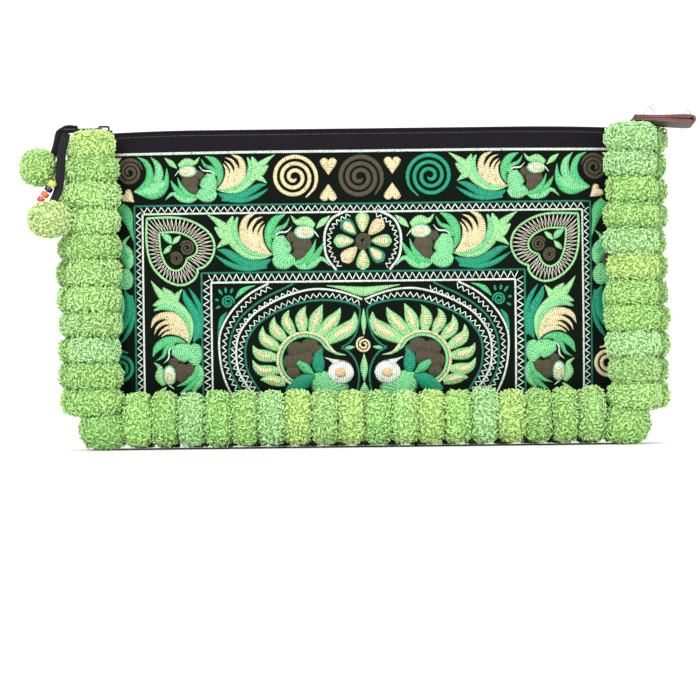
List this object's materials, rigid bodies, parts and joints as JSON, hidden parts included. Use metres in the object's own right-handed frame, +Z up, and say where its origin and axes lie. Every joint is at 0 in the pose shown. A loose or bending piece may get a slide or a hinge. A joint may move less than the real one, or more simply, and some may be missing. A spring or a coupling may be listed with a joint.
{
  "type": "hmong embroidered pompom zip pouch",
  "caption": "Flat zip pouch with an embroidered cloth front, a double trim of yarn pompoms on three sides, a folded leather zip tab and a strap with beads and pompoms on the pull.",
  "frame": {"origin": "on the floor under the middle of the standing pouch, its tab and its beads; the hanging strap tails and pompoms are left out of that measure", "axes": "+Z up, +X along the zip from the slider end to the leather tab, the embroidered face looks along -Y"},
  "size_m": [0.3518, 0.0558, 0.1708],
  "materials": {
    "embroidered_cloth": "black cotton ground with satin-stitch embroidery in greens, cream and brown",
    "black_cotton": "plain black cotton, matte weave",
    "zip_tape": "black woven zip tape, matte",
    "zip_coil": "black nylon coil, satin",
    "black_metal": "black painted metal, semi-gloss",
    "brown_leather": "dark brown leather with paler cut edges",
    "black_strap": "black cloth strap, matte",
    "pendant_yarn": "cut yarn, light green",
    "lime_bead": "lime glossy bead",
    "black_bead": "black glossy bead",
    "orange_bead": "orange glossy bead",
    "pink_bead": "pink glossy bead",
    "bead_thread": "black thread",
    "pompom_yarn": "cut acrylic yarn, lime green with lighter and yellower strands"
  },
  "bodies": {
    "root": {"front_panel": "embroidered_cloth", "back_panel": "black_cotton", "front_top_band": "black_cotton", "back_top_band": "black_cotton", "zip_tape_front": "zip_tape", "zip_tape_back": "zip_tape", "zip_coil": "zip_coil", "zip_slider": "black_metal", "zip_pull": "black_metal", "leather_tab": "brown_leather", "strap_fold": "black_strap", "strap_long": "black_strap", "strap_short": "black_strap", "pendant_upper": "pendant_yarn", "pendant_lower": "pendant_yarn", "bead_lime": "lime_bead", "bead_black": "black_bead", "bead_orange": "orange_bead", "bead_pink": "pink_bead", "bead_thread": "bead_thread", "pompoms_front_left": "pompom_yarn", "pompoms_front_bottom": "pompom_yarn", "pompoms_front_right": "pompom_yarn", "pompoms_back_left": "pompom_yarn", "pompoms_back_bottom": "pompom_yarn", "pompoms_back_right": "pompom_yarn"}
  },
  "joints": []
}
